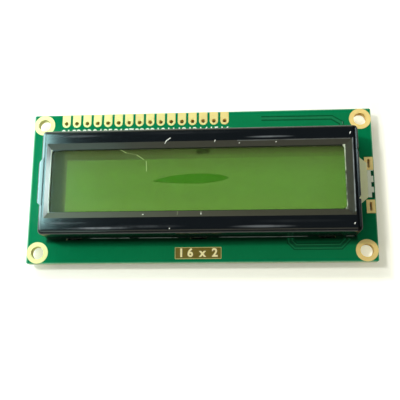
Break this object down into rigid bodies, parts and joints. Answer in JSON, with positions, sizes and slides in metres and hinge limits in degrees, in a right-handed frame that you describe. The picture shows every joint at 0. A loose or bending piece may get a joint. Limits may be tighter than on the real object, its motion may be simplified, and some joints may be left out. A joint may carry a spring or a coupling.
{
  "type": "character lcd module",
  "caption": "Rectangular green circuit board with a black folded bezel round a wide yellow-green display window, gold corner holes and a row of edge lands.",
  "frame": {"origin": "on the surface the module lies on, straight below the centre of the circuit board", "axes": "+X along the display from its left end to its right end as read, +Y across the board towards the row of header lands, +Z out of the display's face"},
  "size_m": [0.08, 0.036, 0.01],
  "materials": {
    "solder_mask": "glossy green solder mask over glass-epoxy laminate",
    "gold_plating": "thin gold over nickel and copper",
    "black_painted_steel": "black paint, half gloss, on folded steel sheet",
    "front_polariser_film": "clear-coated polarising film",
    "display_glass": "clear float glass",
    "seal_epoxy": "cured epoxy seal",
    "liquid_crystal_fluid": "yellow-green fluid film",
    "port_glue": "light-cured glue",
    "rear_polariser_film": "transflective polarising film",
    "strip_rubber": "silicone rubber with fine carbon layers",
    "white_frame_plastic": "white moulded polycarbonate",
    "diffuser_sheet": "milky film",
    "guide_acrylic": "clear acrylic",
    "reflector_sheet": "satin grey-green film",
    "led_board_laminate": "white laminate strip",
    "led_plastic": "clear yellow-green resin",
    "silicon": "bare silicon chip",
    "black_epoxy": "cured black epoxy, half gloss",
    "resistor_ceramic": "black glazed ceramic",
    "tin": "tinned metal",
    "capacitor_ceramic": "tan ceramic"
  },
  "bodies": {
    "root": {"circuit_board": "solder_mask", "mounting_lands": "gold_plating", "header_lands": "gold_plating", "backlight_lands": "gold_plating", "upper_contact_pads": "gold_plating", "lower_contact_pads": "gold_plating", "bezel": "black_painted_steel", "front_polariser": "front_polariser_film", "front_glass": "display_glass", "cell_seal": "seal_epoxy", "liquid_crystal": "liquid_crystal_fluid", "fill_plug": "port_glue", "rear_glass": "display_glass", "rear_polariser": "rear_polariser_film", "upper_elastomer_strip": "strip_rubber", "lower_elastomer_strip": "strip_rubber", "backlight_frame": "white_frame_plastic", "diffuser_film": "diffuser_sheet", "light_guide": "guide_acrylic", "reflector_film": "reflector_sheet", "led_board": "led_board_laminate", "backlight_leds": "led_plastic", "controller_chip": "silicon", "controller_epoxy_drop": "black_epoxy", "driver_chip": "silicon", "driver_epoxy_drop": "black_epoxy", "resistor_bodies": "resistor_ceramic", "resistor_end_caps": "tin", "capacitor_bodies": "capacitor_ceramic", "capacitor_end_caps": "tin"}
  },
  "joints": []
}
